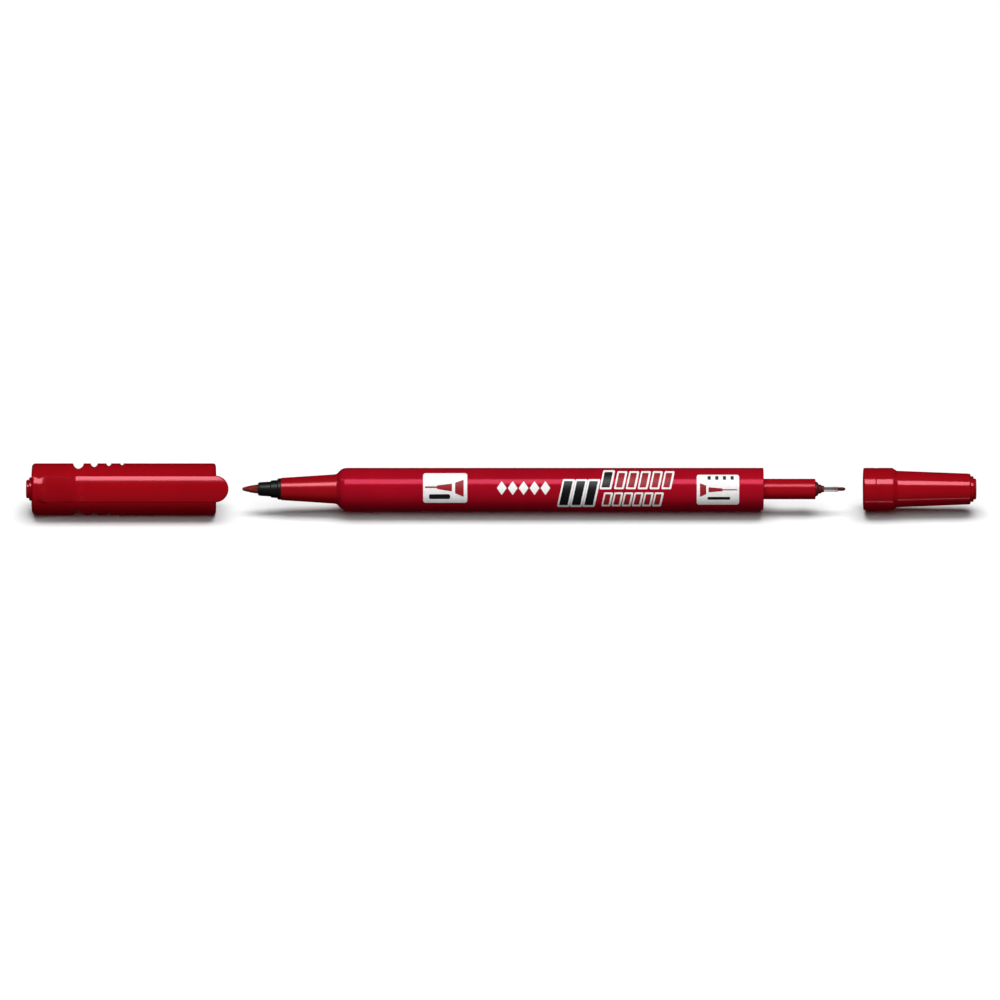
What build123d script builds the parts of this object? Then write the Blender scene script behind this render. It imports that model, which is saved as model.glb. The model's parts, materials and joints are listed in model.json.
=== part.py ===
from build123d import *
import os

# Twin-tip marker pen, laid out along X with both caps drawn off.
# Millimetres. Origin: on the pen's axis, halfway along the barrel tube.
# +X runs along the pen from the fine nib to the extra-fine nib and +Z is up.
# The large cap lies rolled so that its pocket clip faces -Y and 24 degrees up.

# ---- driving dimensions -------------------------------------------------

# barrel tube
BARREL_LEN = 94.74
BARREL_R = 4.70
BARREL_BORE_R = 4.05
BARREL_SOCKET_R = 3.00        # small bore at the fine end
BARREL_SOCKET_DEPTH = 6.00
BARREL_SHOULDER = [(0.0, 3.42), (0.85, 4.30), (1.70, 4.70)]   # (in from the end, r)
BARREL_EDGE = 0.12            # edge break at the square end
RIB_TIP_R = 3.50              # four inner ribs hold the reservoir
RIB_W = 0.80

# ink reservoir and its film wrap
RES_R = 3.30
WRAP_R = 3.50
RES_X0 = -40.9
RES_X1 = 40.4

# fine end: neck, black nib holder, fibre nib
NECK_X0 = -59.8               # front rim of the neck
NECK_R0 = 2.48
NECK_R1 = 3.26
NECK_BORE_R = 1.50
HOLDER_SOCKET_R = 1.90
HOLDER_SOCKET_X1 = -53.6
HOLDER_X0 = -64.9             # front rim of the nib holder
NIB_R = 1.05
NIB_TIP_X = -68.4
NIB_TAIL_X = -33.0

# extra-fine end: neck, tip cone, steel sleeve, nib, relay wick
XNECK_R = 2.28
XNECK_X1 = 58.95
XPLUG_X0 = 41.0
WICK_R = 1.10
XSOCKET_R = 1.50
XSOCKET_X0 = 52.5
SLEEVE_R = 0.575
SLEEVE_X0 = 55.6
SLEEVE_X1 = 64.0
XNIB_R = 0.42
XNIB_TIP_X = 65.6

# large cap, its drawn-off place and its travel onto the barrel
CAP_R = 5.70
CAP_FACE_X = -115.1           # outer face of the closed end
CAP_MOUTH_X = -74.3
CAP_BORE_R = 4.95
CAP_BORE_X0 = -91.6           # where the wide bore ends
CAP_INNER_BORE_R = 3.90
CAP_END_WALL = 1.50
CAP_TRAVEL = 43.4
GROOVES = [(-104.8, 1.20), (-101.3, 0.80), (-98.05, 0.56), (-95.1, 0.40)]

# pocket clip
CLIP_HALF_W = 2.965
CLIP_TOP_R = 8.00             # crowned outer face, concentric with the cap
CLIP_IN_Y = -6.70             # flat inner face
CLIP_ROOT_X = -104.3
CLIP_TIP_X = -71.3
RAMP_X0 = -113.3
RAMP_X1 = -104.9              # where the ramp has reached the clip's height
CLIP_LIE = 24.0               # how far above -Y the lying cap's clip points

# small cap
SCAP_MOUTH_X = 69.6
SCAP_FACE_X = 93.4
SCAP_FLANGE_R = 4.70
SCAP_FLANGE_X1 = 76.05        # from here a chamfer runs down to the taper
SCAP_TAPER_X0 = 77.05
SCAP_LINE_X = 72.4
SCAP_R0 = 4.05
SCAP_R1 = 3.42
SCAP_BORE_R = 3.30
SCAP_BORE_X1 = 76.6
SCAP_INNER_BORE_R = 2.95
SCAP_END_WALL = 1.20
SCAP_TRAVEL = 22.15

# plugs in the closed ends of both caps
PLUG_STEM_R = 1.80

# ---- helpers ------------------------------------------------------------


def turned(points, rounds=()):
    """A solid of revolution about X from (x, r) corners; rounds lists
    (x, r, radius) for corners that are rounded."""
    face = make_face(Polyline(*points, close=True))
    for x, r, radius in rounds:
        corner = face.vertices().sort_by_distance(Vector(x, r, 0))[0]
        face = fillet(corner, radius)
    return revolve(face, Axis.X, 360)


def one(shape):
    """The single solid of a boolean result."""
    solids = shape.solids()
    assert len(solids) == 1, len(solids)
    return solids[0]


def lying(shape):
    """The shape, drawn with the clip along -Y, turned to how the cap lies."""
    return Rot(X=-CLIP_LIE) * shape


def out(shape, node):
    shape = one(shape)
    assert shape.is_valid, node
    export_step(shape, f"parts/{node}.step")
    b = shape.bounding_box()
    print(f"{node:28s} vol {shape.volume:9.2f}  x {b.min.X:8.2f} {b.max.X:8.2f}"
          f"  y {b.min.Y:6.2f} {b.max.Y:6.2f}  z {b.min.Z:6.2f} {b.max.Z:6.2f}")


os.makedirs("parts", exist_ok=True)

BX0, BX1 = -BARREL_LEN / 2, BARREL_LEN / 2
SOCKET_X1 = BX0 + BARREL_SOCKET_DEPTH

# ---- barrel body --------------------------------------------------------

# Barrel tube: in-turned, rounded shoulder at the fine end, square open end.
shoulder = [(BX0 + dx, r) for dx, r in BARREL_SHOULDER]
barrel = turned(
    [(BX0, BARREL_SOCKET_R)] + shoulder + [(BX1, BARREL_R),
     (BX1, BARREL_BORE_R), (SOCKET_X1, BARREL_BORE_R),
     (SOCKET_X1, BARREL_SOCKET_R)],
    rounds=[(*shoulder[0], 0.20), (*shoulder[1], 1.50), (*shoulder[2], 2.50),
            (BX1, BARREL_R, BARREL_EDGE)],
)
# Four ribs along the bore keep the reservoir on the axis and leave an air
# passage round it.
RIB_X0, RIB_X1 = SOCKET_X1 - 0.3, 40.6
for k in range(4):
    rib = Pos((RIB_X0 + RIB_X1) / 2, 0, (RIB_TIP_R + BARREL_BORE_R + 0.3) / 2) * Box(
        RIB_X1 - RIB_X0, RIB_W, BARREL_BORE_R + 0.3 - RIB_TIP_R)
    barrel += Rot(X=45 + 90 * k) * rib
# The rib tips follow the round of the wrapped reservoir.
barrel -= Pos((SOCKET_X1 + 41.0) / 2, 0, 0) * Rot(Y=90) * Cylinder(
    WRAP_R, 41.0 - SOCKET_X1)
out(barrel, "barrel_tube")

# Ink reservoir: fibre rod with a blind hole at each end.
reservoir = turned([(RES_X0, 0), (RES_X0, RES_R), (RES_X1, RES_R), (RES_X1, 0)])
reservoir -= turned([(RES_X0 - 1, 0), (RES_X0 - 1, NIB_R), (NIB_TAIL_X, NIB_R),
                     (NIB_TAIL_X, 0)])
WICK_X0, WICK_X1 = 33.4, 54.8
reservoir -= turned([(WICK_X0, 0), (WICK_X0, WICK_R), (RES_X1 + 1, WICK_R),
                     (RES_X1 + 1, 0)])
out(reservoir, "ink_reservoir")

# Film wrap round the reservoir.
wrap = turned([(RES_X0, RES_R), (RES_X0, WRAP_R), (RES_X1, WRAP_R),
               (RES_X1, RES_R)])
out(wrap, "reservoir_wrap")

# Neck of the fine end: a tapered sleeve whose tail presses into the barrel.
neck = turned(
    [(NECK_X0, HOLDER_SOCKET_R), (NECK_X0, NECK_R0), (BX0 - 0.55, NECK_R1),
     (BX0, NECK_R1 + 0.14), (BX0, BARREL_SOCKET_R),
     (SOCKET_X1 + 0.2, BARREL_SOCKET_R), (SOCKET_X1 + 0.2, NECK_BORE_R),
     (HOLDER_SOCKET_X1, NECK_BORE_R), (HOLDER_SOCKET_X1, HOLDER_SOCKET_R)],
    rounds=[(NECK_X0, NECK_R0, 0.16), (SOCKET_X1 + 0.2, BARREL_SOCKET_R, 0.25)],
)
out(neck, "fine_end_section")

# Nib holder: stepped cone with a flange that closes the neck.
holder = turned(
    [(HOLDER_X0, NIB_R), (HOLDER_X0, 1.36), (HOLDER_X0 + 0.45, 1.52),
     (-62.15, 1.66), (-62.0, 1.90), (-60.62, 2.02), (-60.5, 2.34),
     (NECK_X0, 2.38), (NECK_X0, HOLDER_SOCKET_R),
     (HOLDER_SOCKET_X1, HOLDER_SOCKET_R), (HOLDER_SOCKET_X1, NIB_R)],
    rounds=[(HOLDER_X0, 1.36, 0.10), (-60.5, 2.34, 0.12)],
)
# Three fine air channels run along the holder's bore.
for k in range(3):
    holder -= Rot(X=120 * k + 90) * (
        Pos((HOLDER_X0 + 1.2 + HOLDER_SOCKET_X1) / 2, 0, NIB_R + 0.02)
        * Box(HOLDER_SOCKET_X1 - HOLDER_X0 - 1.2 + 0.02, 0.34, 0.34))
out(holder, "fine_nib_holder")

# Fine nib: bonded-fibre rod with a slim bullet point; its tail sits in the
# reservoir.
nib = turned(
    [(NIB_TIP_X, 0), (NIB_TIP_X, 0.30), (-67.75, 0.50), (-66.4, 0.82),
     (-65.15, 1.00), (HOLDER_X0, NIB_R), (NIB_TAIL_X, NIB_R), (NIB_TAIL_X, 0)],
    rounds=[(NIB_TIP_X, 0.30, 0.26), (-67.75, 0.50, 0.6), (-66.4, 0.82, 1.2)],
)
out(nib, "fine_nib")

# Neck of the extra-fine end: its plug closes the barrel's square end.
xneck = turned(
    [(XPLUG_X0, WICK_R), (XPLUG_X0, BARREL_BORE_R), (BX1, BARREL_BORE_R),
     (BX1, XNECK_R), (XNECK_X1, XNECK_R), (XNECK_X1, XSOCKET_R),
     (XSOCKET_X0, XSOCKET_R), (XSOCKET_X0, WICK_R)],
    rounds=[(XPLUG_X0, BARREL_BORE_R, 0.30), (XNECK_X1, XNECK_R, 0.22),
            (BX1, XNECK_R, 0.20)],
)
out(xneck, "extra_fine_section")

# Tip cone: stepped, holds the steel sleeve; its tail presses into the neck.
CONE_TAIL_X = XSOCKET_X0
cone = turned(
    [(CONE_TAIL_X, WICK_R), (CONE_TAIL_X, XSOCKET_R), (XNECK_X1, XSOCKET_R),
     (XNECK_X1, 1.66), (59.12, 1.66), (59.50, 1.42), (59.62, 1.06),
     (60.22, 0.96), (60.34, 0.76), (60.85, 0.70), (60.85, SLEEVE_R),
     (WICK_X1 + 0.2, SLEEVE_R), (WICK_X1 + 0.2, WICK_R)],
)
out(cone, "extra_fine_tip_cone")

# Steel sleeve round the extra-fine nib, slightly rolled in at its mouth.
sleeve = turned(
    [(SLEEVE_X0, XNIB_R), (SLEEVE_X0, SLEEVE_R), (SLEEVE_X1, SLEEVE_R),
     (SLEEVE_X1, XNIB_R)],
    rounds=[(SLEEVE_X1, SLEEVE_R, 0.11)],
)
out(sleeve, "extra_fine_sleeve")

# Extra-fine nib: thin rod with a rounded writing point.
XNIB_TAIL_X = 53.0
xnib = turned(
    [(XNIB_TAIL_X, 0), (XNIB_TAIL_X, XNIB_R), (XNIB_TIP_X - 0.55, XNIB_R),
     (XNIB_TIP_X, 0.24), (XNIB_TIP_X, 0)],
    rounds=[(XNIB_TIP_X - 0.55, XNIB_R, 0.3), (XNIB_TIP_X, 0.24, 0.20)],
)
out(xnib, "extra_fine_nib")

# Relay wick: carries ink from the reservoir to the extra-fine nib.
wick = turned([(WICK_X0, 0), (WICK_X0, WICK_R), (WICK_X1, WICK_R), (WICK_X1, 0)])
wick -= turned([(XNIB_TAIL_X, 0), (XNIB_TAIL_X, XNIB_R), (WICK_X1 + 1, XNIB_R),
                (WICK_X1 + 1, 0)])
out(wick, "extra_fine_relay_wick")

# ---- large cap ----------------------------------------------------------

cap = turned(
    [(CAP_FACE_X, PLUG_STEM_R), (CAP_FACE_X, CAP_R), (CAP_MOUTH_X, CAP_R),
     (CAP_MOUTH_X, CAP_BORE_R), (CAP_BORE_X0, CAP_BORE_R),
     (CAP_BORE_X0 - 1.0, CAP_INNER_BORE_R),
     (CAP_FACE_X + CAP_END_WALL, CAP_INNER_BORE_R),
     (CAP_FACE_X + CAP_END_WALL, PLUG_STEM_R)],
    rounds=[(CAP_FACE_X, CAP_R, 0.75), (CAP_MOUTH_X, CAP_R, 0.55)],
)
# The seam of the turned shell stays level with the axis once the cap is rolled.
cap = Rot(X=CLIP_LIE) * cap
# Clip root: a crowned ramp that rises off the cap to the clip's height.
ramp = turned(
    [(RAMP_X0, 5.00), (RAMP_X0, CAP_R - 0.02), (RAMP_X1, CLIP_TOP_R),
     (CLIP_ROOT_X, CLIP_TOP_R), (CLIP_ROOT_X, 5.00)],
    rounds=[(RAMP_X1, CLIP_TOP_R, 4.0)],
)
ramp = ramp & (Pos((RAMP_X0 + CLIP_ROOT_X) / 2, -7.0, 0)
               * Box(20, 5.0, 2 * CLIP_HALF_W))
ramp_edges = [e for e in ramp.edges()
              if abs(abs(e.center().Z) - CLIP_HALF_W) < 1e-3
              and e.center().Y < -5.3
              and e.length > 1.0
              and abs(e.center().X - CLIP_ROOT_X) > 0.2]
ramp = fillet(ramp_edges, 0.24)
cap += ramp
# Finger grooves: half-round notches across the top and underside, smaller
# and smaller towards the mouth.
for gx, gr in GROOVES:
    for side in (1, -1):
        cap -= Pos(gx, 0, side * CAP_R) * Rot(X=90) * Cylinder(gr, 14)
out(lying(cap), "fine_cap_shell")

# Inner cap: seals over the neck's front when the cap is on.
ICAP_X0 = CAP_FACE_X + CAP_END_WALL
inner = turned(
    [(ICAP_X0, 0), (ICAP_X0, CAP_INNER_BORE_R), (-101.0, CAP_INNER_BORE_R),
     (-100.8, 3.55), (-95.6, 3.55), (-95.6, 3.26), (-96.0, 3.05),
     (-103.3, 2.60), (-103.6, 2.46), (ICAP_X0 + 1.0, 2.46), (ICAP_X0 + 1.0, 0)],
    rounds=[(ICAP_X0 + 1.0, 2.46, 0.8)],
)
out(inner, "fine_cap_inner_cap")

# End plug of the large cap: stem through the end wall, two-step button.
plug = turned(
    [(ICAP_X0, 0), (ICAP_X0, PLUG_STEM_R), (CAP_FACE_X, PLUG_STEM_R),
     (CAP_FACE_X, 2.60), (CAP_FACE_X - 0.60, 2.60), (CAP_FACE_X - 0.70, 2.06),
     (CAP_FACE_X - 1.30, 2.03), (CAP_FACE_X - 1.30, 0)],
    rounds=[(CAP_FACE_X - 0.60, 2.60, 0.15), (CAP_FACE_X - 1.30, 2.03, 0.22)],
)
out(plug, "fine_cap_end_plug")

# Pocket clip: crowned strip with a rounded tongue past the cap's mouth and
# a bump inside near its tip.
strip = turned([(CLIP_ROOT_X, 0), (CLIP_ROOT_X, CLIP_TOP_R),
                (CLIP_TIP_X, CLIP_TOP_R), (CLIP_TIP_X, 0)])
round_x = CLIP_TIP_X - CLIP_HALF_W
outline = (Pos((CLIP_ROOT_X + round_x) / 2, 0, 0)
           * Box(round_x - CLIP_ROOT_X, 20, 2 * CLIP_HALF_W)
           + Pos(round_x, 0, 0) * Rot(X=90) * Cylinder(CLIP_HALF_W, 20))
outline = outline & (Pos(-90, (CLIP_IN_Y - 10) / 2, 0) * Box(60, 10 + CLIP_IN_Y, 12))
clip = strip & outline
clip_edges = [e for e in clip.edges()
              if e.center().Y < CLIP_IN_Y - 0.2
              and e.center().X > CLIP_ROOT_X + 0.2
              and e.length > 1.0]
clip = fillet(clip_edges, 0.24)
bump = Pos(-77.6, -6.78, 0) * Cylinder(0.86, 3.2)
bump = chamfer(bump.edges().filter_by(GeomType.CIRCLE), 0.25)
clip += bump
out(lying(clip), "pocket_clip")

# ---- small cap ----------------------------------------------------------

scap = turned(
    [(SCAP_MOUTH_X, SCAP_BORE_R), (SCAP_MOUTH_X, SCAP_FLANGE_R),
     (SCAP_FLANGE_X1, SCAP_FLANGE_R), (SCAP_TAPER_X0, SCAP_R0), (SCAP_FACE_X, SCAP_R1),
     (SCAP_FACE_X, PLUG_STEM_R), (SCAP_FACE_X - SCAP_END_WALL, PLUG_STEM_R),
     (SCAP_FACE_X - SCAP_END_WALL, SCAP_INNER_BORE_R),
     (SCAP_BORE_X1 + 0.5, SCAP_INNER_BORE_R), (SCAP_BORE_X1, SCAP_BORE_R)],
    rounds=[(SCAP_MOUTH_X, SCAP_FLANGE_R, 0.25),
            (SCAP_FLANGE_X1, SCAP_FLANGE_R, 0.12),
            (SCAP_TAPER_X0, SCAP_R0, 0.30),
            (SCAP_FACE_X, SCAP_R1, 0.35)],
)
# A fine moulded line rings the flange.
scap -= turned([(SCAP_LINE_X - 0.22, SCAP_FLANGE_R + 0.05),
                (SCAP_LINE_X, SCAP_FLANGE_R - 0.07),
                (SCAP_LINE_X + 0.22, SCAP_FLANGE_R + 0.05)])
out(scap, "extra_fine_cap_shell")

SICAP_X1 = SCAP_FACE_X - SCAP_END_WALL
sinner = turned(
    [(77.6, 2.66), (77.6, SCAP_INNER_BORE_R), (SICAP_X1, SCAP_INNER_BORE_R),
     (SICAP_X1, 0), (SICAP_X1 - 1.0, 0), (SICAP_X1 - 1.0, 1.90),
     (82.4, 1.90), (82.0, 2.46), (77.9, 2.46)],
    rounds=[(SICAP_X1 - 1.0, 1.90, 0.6)],
)
out(sinner, "extra_fine_cap_inner_cap")

splug = turned(
    [(SICAP_X1, 0), (SICAP_X1, PLUG_STEM_R), (SCAP_FACE_X, PLUG_STEM_R),
     (SCAP_FACE_X, 2.86), (SCAP_FACE_X + 0.62, 2.84), (SCAP_FACE_X + 0.72, 2.34),
     (SCAP_FACE_X + 1.25, 2.30), (SCAP_FACE_X + 1.25, 0)],
    rounds=[(SCAP_FACE_X + 0.62, 2.84, 0.15), (SCAP_FACE_X + 1.25, 2.30, 0.22)],
)
out(splug, "extra_fine_cap_end_plug")
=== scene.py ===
import json
import math

import bmesh
import bpy
from mathutils import Matrix, Vector

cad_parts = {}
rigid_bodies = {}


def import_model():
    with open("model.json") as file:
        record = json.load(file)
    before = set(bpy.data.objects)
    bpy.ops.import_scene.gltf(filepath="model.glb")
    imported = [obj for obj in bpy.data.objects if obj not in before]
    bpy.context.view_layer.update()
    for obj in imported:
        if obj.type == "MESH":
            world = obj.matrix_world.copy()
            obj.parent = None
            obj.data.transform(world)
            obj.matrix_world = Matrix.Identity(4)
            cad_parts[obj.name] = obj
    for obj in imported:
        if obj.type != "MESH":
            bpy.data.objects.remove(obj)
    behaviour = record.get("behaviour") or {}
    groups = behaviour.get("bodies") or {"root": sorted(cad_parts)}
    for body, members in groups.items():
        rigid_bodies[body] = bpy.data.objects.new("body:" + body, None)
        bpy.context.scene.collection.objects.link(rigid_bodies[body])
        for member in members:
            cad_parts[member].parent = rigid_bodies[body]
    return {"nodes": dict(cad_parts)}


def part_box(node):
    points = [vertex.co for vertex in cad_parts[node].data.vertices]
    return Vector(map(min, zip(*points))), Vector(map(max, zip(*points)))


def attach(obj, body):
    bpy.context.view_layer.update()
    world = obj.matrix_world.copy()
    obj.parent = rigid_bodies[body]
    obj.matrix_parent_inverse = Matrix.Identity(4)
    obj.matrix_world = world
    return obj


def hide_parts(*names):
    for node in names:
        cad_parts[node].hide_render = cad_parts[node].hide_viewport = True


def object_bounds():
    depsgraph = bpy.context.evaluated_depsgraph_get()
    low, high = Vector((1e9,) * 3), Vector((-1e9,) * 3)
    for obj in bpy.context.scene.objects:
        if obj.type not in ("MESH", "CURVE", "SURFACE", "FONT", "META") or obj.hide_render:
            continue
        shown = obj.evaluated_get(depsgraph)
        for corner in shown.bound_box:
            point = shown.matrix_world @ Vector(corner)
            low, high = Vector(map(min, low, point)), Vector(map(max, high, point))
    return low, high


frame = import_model()
cad_lo, cad_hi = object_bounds()

MM = 0.001
CLIP_LIE = math.radians(24.0)      # the lying cap's roll, and the side the print is on
VIEW_ELEVATION = math.radians(24.0)

# Places taken from the CAD nodes, in millimetres.
def span(node):
    lo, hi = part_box(node)
    return lo / MM, hi / MM


barrel_lo, barrel_hi = span("barrel_tube")
cap_lo, cap_hi = span("fine_cap_shell")
scap_lo, scap_hi = span("extra_fine_cap_shell")
clip_lo, clip_hi = span("pocket_clip")
neck_lo, neck_hi = span("fine_end_section")
holder_lo, holder_hi = span("fine_nib_holder")
nib_lo, nib_hi = span("fine_nib")
xneck_lo, xneck_hi = span("extra_fine_section")
cone_lo, cone_hi = span("extra_fine_tip_cone")
sleeve_lo, sleeve_hi = span("extra_fine_sleeve")
xnib_lo, xnib_hi = span("extra_fine_nib")

# ---------------------------------------------------------------- materials


class Nodes:
    """A small helper round one material's node tree."""

    def __init__(self, name):
        self.mat = bpy.data.materials.new(name)
        self.mat.use_nodes = True
        self.tree = self.mat.node_tree
        self.tree.nodes.clear()
        self.out = self.tree.nodes.new("ShaderNodeOutputMaterial")
        self.bsdf = self.tree.nodes.new("ShaderNodeBsdfPrincipled")
        self.tree.links.new(self.bsdf.outputs[0], self.out.inputs[0])
        self.coord = self.tree.nodes.new("ShaderNodeTexCoord").outputs["Object"]

    def new(self, kind, **values):
        n = self.tree.nodes.new(kind)
        for k, v in values.items():
            setattr(n, k, v)
        return n

    def link(self, a, b):
        self.tree.links.new(a, b)

    def put(self, node, name, value):
        """A number, a colour or another node's output goes into an input."""
        socket = node.inputs[name]
        if isinstance(value, bpy.types.NodeSocket):
            self.link(value, socket)
        else:
            socket.default_value = value

    def math(self, op, a, b=0.0, c=None, clamp=False):
        n = self.new("ShaderNodeMath", operation=op, use_clamp=clamp)
        self.put(n, 0, a)
        self.put(n, 1, b)
        if c is not None:
            self.put(n, 2, c)
        return n.outputs[0]

    def scaled(self, sx, sy, sz, rot=(0, 0, 0)):
        n = self.new("ShaderNodeMapping")
        self.link(self.coord, n.inputs["Vector"])
        n.inputs["Rotation"].default_value = rot
        n.inputs["Scale"].default_value = (sx, sy, sz)
        return n.outputs[0]

    def noise(self, scale, detail=2.0, rough=0.5, vector=None, distortion=0.0):
        n = self.new("ShaderNodeTexNoise")
        self.link(vector or self.coord, n.inputs["Vector"])
        n.inputs["Scale"].default_value = scale
        n.inputs["Detail"].default_value = detail
        n.inputs["Roughness"].default_value = rough
        n.inputs["Distortion"].default_value = distortion
        return n.outputs["Fac"]

    def ramp(self, fac, stops):
        n = self.new("ShaderNodeValToRGB")
        self.link(fac, n.inputs["Fac"])
        e = n.color_ramp.elements
        while len(e) > len(stops):
            e.remove(e[-1])
        while len(e) < len(stops):
            e.new(0.5)
        for k, (pos, colour) in enumerate(stops):
            e[k].position = pos
            e[k].color = colour if len(colour) == 4 else (*colour, 1.0)
        return n.outputs["Color"]

    def mix(self, fac, a, b, blend="MIX"):
        n = self.new("ShaderNodeMix", data_type="RGBA", blend_type=blend)
        self.put(n, 0, fac)
        for name, value in ((6, a), (7, b)):
            if isinstance(value, bpy.types.NodeSocket):
                self.link(value, n.inputs[name])
            else:
                n.inputs[name].default_value = value if len(value) == 4 else (*value, 1.0)
        return n.outputs[2]

    def bump(self, height, strength, distance, normal=None):
        n = self.new("ShaderNodeBump")
        self.put(n, "Height", height)
        n.inputs["Strength"].default_value = strength
        n.inputs["Distance"].default_value = distance
        if normal is not None:
            self.link(normal, n.inputs["Normal"])
        return n.outputs[0]


def plastic(name, base, rough, spec_level, tint, variation=0.07, wear=0.16,
            worn=None, orange_peel=0.020, scuffs=0.05, seam=None):
    """Injection-moulded plastic: flow clouds in the colour, fine orange peel,
    scuffs drawn along the pen, and paler, duller worn edges."""
    m = Nodes(name)
    clouds = m.noise(70.0, 3.0, 0.55, distortion=0.6)
    grain = m.noise(2600.0, 2.0, 0.6)
    lighter = tuple(min(1.0, c * (1 + variation)) for c in base)
    darker = tuple(c * (1 - variation) for c in base)
    colour = m.ramp(clouds, [(0.32, darker), (0.68, lighter)])
    colour = m.mix(m.math("MULTIPLY", grain, 0.10), colour,
                   tuple(c * 0.72 for c in base))
    # worn edges: curvature broken up by noise
    geo = m.new("ShaderNodeNewGeometry")
    edge = m.new("ShaderNodeMapRange")
    m.link(geo.outputs["Pointiness"], edge.inputs["Value"])
    edge.inputs["From Min"].default_value = 0.515
    edge.inputs["From Max"].default_value = 0.60
    patchy = m.math("MULTIPLY", edge.outputs[0],
                    m.math("GREATER_THAN", m.noise(900.0, 4.0, 0.65), 0.47))
    patchy = m.math("MULTIPLY", patchy, wear, clamp=True)
    colour = m.mix(patchy, colour, worn or tuple(min(1.0, c * 1.25 + 0.015) for c in base))
    m.link(colour, m.bsdf.inputs["Base Color"])
    # fine scuffs along the length, and a few across it
    long_scuffs = m.noise(1.0, 5.0, 0.7, m.scaled(160.0, 5200.0, 5200.0))
    cross_scuffs = m.noise(1.0, 4.0, 0.7, m.scaled(3800.0, 300.0, 300.0, (0.3, 0.2, 0.5)))
    marks = m.math("MAXIMUM",
                   m.math("GREATER_THAN", long_scuffs, 0.70),
                   m.math("GREATER_THAN", cross_scuffs, 0.72))
    rough_out = m.math("ADD", rough, m.math("MULTIPLY", m.math(
        "SUBTRACT", m.noise(420.0, 3.0, 0.6), 0.5), 0.025))
    rough_out = m.math("ADD", rough_out, m.math("MULTIPLY", marks, scuffs))
    rough_out = m.math("ADD", rough_out, m.math("MULTIPLY", patchy, 0.20), clamp=True)
    m.link(rough_out, m.bsdf.inputs["Roughness"])
    m.bsdf.inputs["Specular IOR Level"].default_value = spec_level
    m.bsdf.inputs["Specular Tint"].default_value = (*tint, 1.0)
    m.bsdf.inputs["IOR"].default_value = 1.5
    normal = m.bump(m.noise(1500.0, 2.0, 0.5), orange_peel, 0.00002)
    normal = m.bump(long_scuffs, 0.018, 0.00002, normal)
    if seam is not None:
        # mould parting line: a fine raised thread on two sides, along X
        sep = m.new("ShaderNodeSeparateXYZ")
        turned = m.new("ShaderNodeVectorRotate", rotation_type="X_AXIS")
        m.link(m.coord, turned.inputs["Vector"])
        turned.inputs["Angle"].default_value = seam
        m.link(turned.outputs[0], sep.inputs[0])
        thread = m.math("SUBTRACT", 1.0, m.math(
            "DIVIDE", m.math("ABSOLUTE", sep.outputs[1]), 0.00006), clamp=True)
        normal = m.bump(thread, 0.5, 0.00003, normal)
    m.link(normal, m.bsdf.inputs["Normal"])
    return m.mat


RED = (0.330, 0.0032, 0.0080)
moulded_red = plastic("moulded_red", RED, 0.13, 0.80, (1.0, 0.30, 0.38),
                      worn=(0.46, 0.05, 0.06), seam=CLIP_LIE)
barrel_red = plastic("barrel_red", (0.345, 0.0036, 0.0135), 0.16, 0.50,
                     (1.0, 0.12, 0.24), orange_peel=0.016, worn=(0.44, 0.03, 0.05))
neck_red = plastic("neck_red", (0.315, 0.0034, 0.0078), 0.20, 0.90, (1.0, 0.30, 0.36),
                   worn=(0.46, 0.05, 0.06))
slim_neck_red = plastic("slim_neck_red", (0.330, 0.0034, 0.0085), 0.20, 0.56,
                        (1.0, 0.28, 0.36), worn=(0.46, 0.05, 0.06))
moulded_black = plastic("moulded_black", (0.0060, 0.0060, 0.0064), 0.38, 0.24,
                        (1.0, 1.0, 1.0), worn=(0.035, 0.035, 0.035), wear=0.35)
cone_dark_red = plastic("cone_dark_red", (0.105, 0.0100, 0.0110), 0.34, 0.5,
                        (1.0, 0.7, 0.7), worn=(0.20, 0.05, 0.05))


def inner_cap_material():
    """Natural polyethylene: waxy, a little light passes through, faint flow marks."""
    m = Nodes("inner_cap_natural")
    flow = m.noise(1.0, 4.0, 0.55, m.scaled(90.0, 400.0, 400.0), 0.8)
    m.link(m.ramp(flow, [(0.3, (0.60, 0.55, 0.52)), (0.7, (0.74, 0.71, 0.68))]),
           m.bsdf.inputs["Base Color"])
    m.link(m.math("ADD", 0.42, m.math("MULTIPLY", m.noise(700.0, 3.0), 0.15)),
           m.bsdf.inputs["Roughness"])
    m.bsdf.inputs["Subsurface Weight"].default_value = 0.25
    m.bsdf.inputs["Subsurface Radius"].default_value = (0.0010, 0.0007, 0.0006)
    m.bsdf.inputs["Subsurface Scale"].default_value = 1.0
    m.link(m.bump(m.noise(1800.0, 2.0), 0.15, 0.00003), m.bsdf.inputs["Normal"])
    return m.mat


def fibre_material(name, wet, dry, scale, strength, sheen=0.03, gloss=0.12):
    """Bonded fibre: strands along the pen, ink-dark hollows between them."""
    m = Nodes(name)
    strands = m.noise(1.0, 4.0, 0.6, m.scaled(500.0, scale, scale))
    blot = m.noise(900.0, 3.0, 0.55)
    colour = m.ramp(strands, [(0.30, wet), (0.62, dry)])
    colour = m.mix(m.math("MULTIPLY", blot, 0.35), colour, wet)
    m.link(colour, m.bsdf.inputs["Base Color"])
    m.link(m.math("ADD", 0.55, m.math("MULTIPLY", strands, 0.3)),
           m.bsdf.inputs["Roughness"])
    m.bsdf.inputs["Specular IOR Level"].default_value = gloss
    m.bsdf.inputs["Sheen Weight"].default_value = sheen
    m.link(m.bump(strands, strength, 0.00006), m.bsdf.inputs["Normal"])
    return m.mat


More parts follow.
